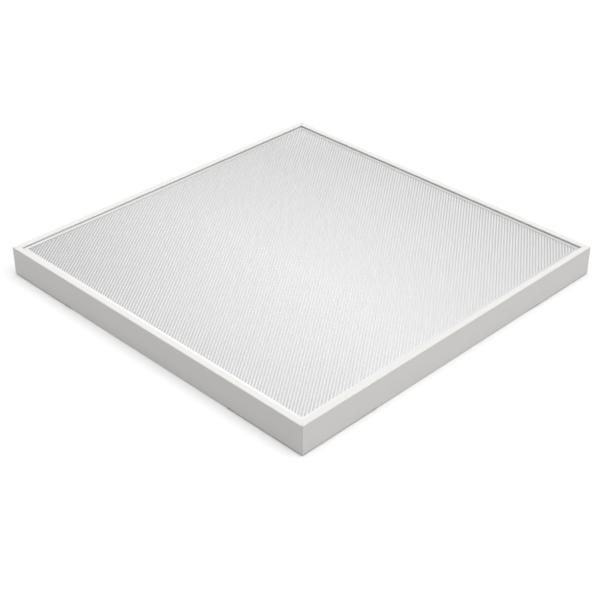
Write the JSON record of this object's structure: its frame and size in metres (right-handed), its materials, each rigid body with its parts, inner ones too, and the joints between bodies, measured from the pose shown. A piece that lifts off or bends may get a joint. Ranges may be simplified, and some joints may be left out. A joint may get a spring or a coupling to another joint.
{
  "type": "recessed troffer light",
  "caption": "Square recessed ceiling light: shallow white steel tray and frame with a narrow lip round a prismatic diffuser, strip light sources and driver inside.",
  "frame": {"origin": "on the floor under the middle of the panel, at the back face of the tray", "axes": "+Z out of the lit face, towards the room; the front wall faces -Y and the driver lies along X"},
  "size_m": [0.595, 0.595, 0.046],
  "materials": {
    "white_enamel": "satin white powder coat on steel sheet",
    "gear_white": "white coil coat on steel sheet",
    "reflector_white": "high reflectance white paint",
    "white_screw": "white lacquered steel",
    "zinc_steel": "bright zinc plate",
    "strip_board": "white solder mask on aluminium core board",
    "lens_clear": "clear moulded acrylic",
    "chip_yellow": "phosphor over a white package",
    "rivet_nylon": "natural white nylon",
    "lead_red": "red lead insulation",
    "lead_brown": "brown lead insulation",
    "lead_green": "green and yellow lead insulation",
    "driver_case": "white moulded polycarbonate",
    "board_green": "green solder mask on glass laminate",
    "ferrite": "sintered ferrite with a taped winding",
    "capacitor_black": "shrink sleeve",
    "terminal_grey": "grey moulded polyamide",
    "lever_orange": "orange moulded polyamide",
    "contact_brass": "tinned brass",
    "grommet_rubber": "black moulded rubber",
    "prism_plate": "prismatic moulded sheet, white by the opal sheet behind it",
    "opal_sheet": "opal diffusing sheet"
  },
  "bodies": {
    "tray": {"back_pan": "gear_white", "cable_grommet": "grommet_rubber", "clip_rivets": "zinc_steel", "driver_base": "driver_case", "driver_board": "board_green", "driver_capacitors": "capacitor_black", "driver_lid": "driver_case", "driver_lid_screws": "zinc_steel", "driver_mount_screws": "zinc_steel", "driver_transformer": "ferrite", "earth_lead": "lead_green", "earth_nut": "zinc_steel", "earth_stud": "zinc_steel", "earth_tag": "contact_brass", "hanging_nuts": "zinc_steel", "led_chips": "chip_yellow", "led_leads": "lead_red", "led_lenses_1": "lens_clear", "led_lenses_2": "lens_clear", "led_lenses_3": "lens_clear", "led_lenses_4": "lens_clear", "led_strip_1": "strip_board", "led_strip_2": "strip_board", "led_strip_3": "strip_board", "led_strip_4": "strip_board", "reflector_rivets": "zinc_steel", "side_reflector_back": "reflector_white", "side_reflector_front": "reflector_white", "side_reflector_left": "reflector_white", "side_reflector_right": "reflector_white", "strip_connectors": "rivet_nylon", "strip_jumpers": "lead_red", "strip_rivets": "rivet_nylon", "supply_leads": "lead_brown", "terminal_block": "terminal_grey", "terminal_contacts": "contact_brass"},
    "frame": {"frame_wall_front": "white_enamel", "frame_wall_right": "white_enamel", "frame_wall_back": "white_enamel", "frame_wall_left": "white_enamel", "corner_bracket_1": "zinc_steel", "corner_bracket_2": "zinc_steel", "corner_bracket_3": "zinc_steel", "corner_bracket_4": "zinc_steel", "frame_screws": "white_screw", "frame_nuts": "zinc_steel"},
    "diffuser": {"diffuser_plate": "prism_plate", "diffusion_sheet": "opal_sheet"},
    "driver_cover_body": {"driver_cover": "gear_white", "cover_screws": "zinc_steel"},
    "clip_1": {"grid_clip_1": "zinc_steel"},
    "clip_2": {"grid_clip_2": "zinc_steel"},
    "clip_3": {"grid_clip_3": "zinc_steel"},
    "clip_4": {"grid_clip_4": "zinc_steel"},
    "lever_1": {"terminal_lever_1": "lever_orange"},
    "lever_2": {"terminal_lever_2": "lever_orange"},
    "lever_3": {"terminal_lever_3": "lever_orange"}
  },
  "joints": [
    {"name": "frame_lift", "type": "slide", "parent": "tray", "child": "frame", "axis": [0, 0, 1], "range_m": [0, 0.12]},
    {"name": "diffuser_lift", "type": "slide", "parent": "tray", "child": "diffuser", "axis": [0, 0, 1], "range_m": [0, 0.08]},
    {"name": "cover_lift", "type": "slide", "parent": "tray", "child": "driver_cover_body", "axis": [0, 0, 1], "range_m": [0, 0.04]},
    {"name": "grid_clip_1_swing", "type": "hinge", "parent": "tray", "child": "clip_1", "pos_m": [0.225, -0.284, 0.00115], "axis": [0, 0, -1], "range_deg": [0, 90]},
    {"name": "grid_clip_2_swing", "type": "hinge", "parent": "tray", "child": "clip_2", "pos_m": [0.284, 0.225, 0.00115], "axis": [0, 0, -1], "range_deg": [0, 90]},
    {"name": "grid_clip_3_swing", "type": "hinge", "parent": "tray", "child": "clip_3", "pos_m": [-0.225, 0.284, 0.00115], "axis": [0, 0, -1], "range_deg": [0, 90]},
    {"name": "grid_clip_4_swing", "type": "hinge", "parent": "tray", "child": "clip_4", "pos_m": [-0.284, -0.225, 0.00115], "axis": [0, 0, -1], "range_deg": [0, 90]},
    {"name": "terminal_lever_1_lift", "type": "hinge", "parent": "tray", "child": "lever_1", "pos_m": [-0.0915, -0.007, 0.0086], "axis": [0, 1, 0], "range_deg": [0, 90]},
    {"name": "terminal_lever_2_lift", "type": "hinge", "parent": "tray", "child": "lever_2", "pos_m": [-0.0915, 0, 0.0086], "axis": [0, 1, 0], "range_deg": [0, 90]},
    {"name": "terminal_lever_3_lift", "type": "hinge", "parent": "tray", "child": "lever_3", "pos_m": [-0.0915, 0.007, 0.0086], "axis": [0, 1, 0], "range_deg": [0, 90]}
  ],
  "couplings": [
    {"joint": "diffuser_lift", "follows": "frame_lift", "ratio": 0.66667},
    {"joint": "cover_lift", "follows": "frame_lift", "ratio": 0.33333}
  ]
}
